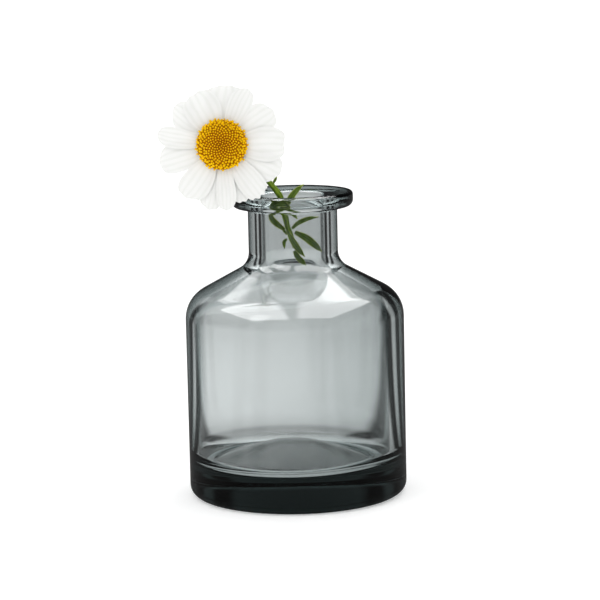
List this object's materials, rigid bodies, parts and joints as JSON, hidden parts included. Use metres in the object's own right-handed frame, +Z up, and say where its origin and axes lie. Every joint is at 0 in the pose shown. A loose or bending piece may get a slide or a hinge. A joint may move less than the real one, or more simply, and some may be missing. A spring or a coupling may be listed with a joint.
{
  "type": "glass bud vase",
  "caption": "Squat smoked-glass bottle vase with a wide flat lip and heavy base, holding a white daisy sprig that lifts out and whose head can tip back.",
  "frame": {"origin": "centre of the flat underside, on the bottle's axis", "axes": "+Z up along the bottle's axis; the flower faces -Y and hangs over the lip on the -X side"},
  "size_m": [0.0689, 0.063, 0.1196],
  "materials": {
    "smoked_glass": "clear smoke-grey pressed and blown glass, fire-polished, slightly uneven inside",
    "petal_white": "soft matt living petal, faint veins along its length",
    "disc_yellow": "granular florets, golden with darker orange pits",
    "stem_green": "satin plant skin, slightly ribbed",
    "leaf_green": "satin leaf blade with a midrib"
  },
  "bodies": {
    "vase": {"glass_bottle": "smoked_glass"},
    "daisy_sprig": {"flower_stem": "stem_green", "leaf_above_rim": "leaf_green", "leaf_bract": "leaf_green", "leaf_curled_top": "leaf_green", "leaf_curled_left": "leaf_green", "leaf_mid_right": "leaf_green", "leaf_right": "leaf_green", "leaf_lower_right": "leaf_green", "leaf_lower_front": "leaf_green", "leaf_lowest": "leaf_green", "leaf_small_left": "leaf_green", "leaf_stub_left": "leaf_green"},
    "daisy_head": {"flower_cup": "stem_green", "flower_disc": "disc_yellow", "ray_petal_01": "petal_white", "ray_petal_02": "petal_white", "ray_petal_03": "petal_white", "ray_petal_04": "petal_white", "ray_petal_05": "petal_white", "ray_petal_06": "petal_white", "ray_petal_07": "petal_white", "ray_petal_08": "petal_white", "ray_petal_09": "petal_white", "ray_petal_10": "petal_white", "ray_petal_11": "petal_white", "ray_petal_12": "petal_white", "ray_petal_13": "petal_white", "ray_petal_14": "petal_white"}
  },
  "joints": [
    {"name": "sprig_lift", "type": "slide", "parent": "vase", "child": "daisy_sprig", "axis": [0, 0, 1], "range_m": [0, 0.035]},
    {"name": "head_nod", "type": "hinge", "parent": "daisy_sprig", "child": "daisy_head", "pos_m": [-0.0193, -0.00936, 0.10191], "axis": [1, 0, 0], "range_deg": [-25, 0]}
  ]
}
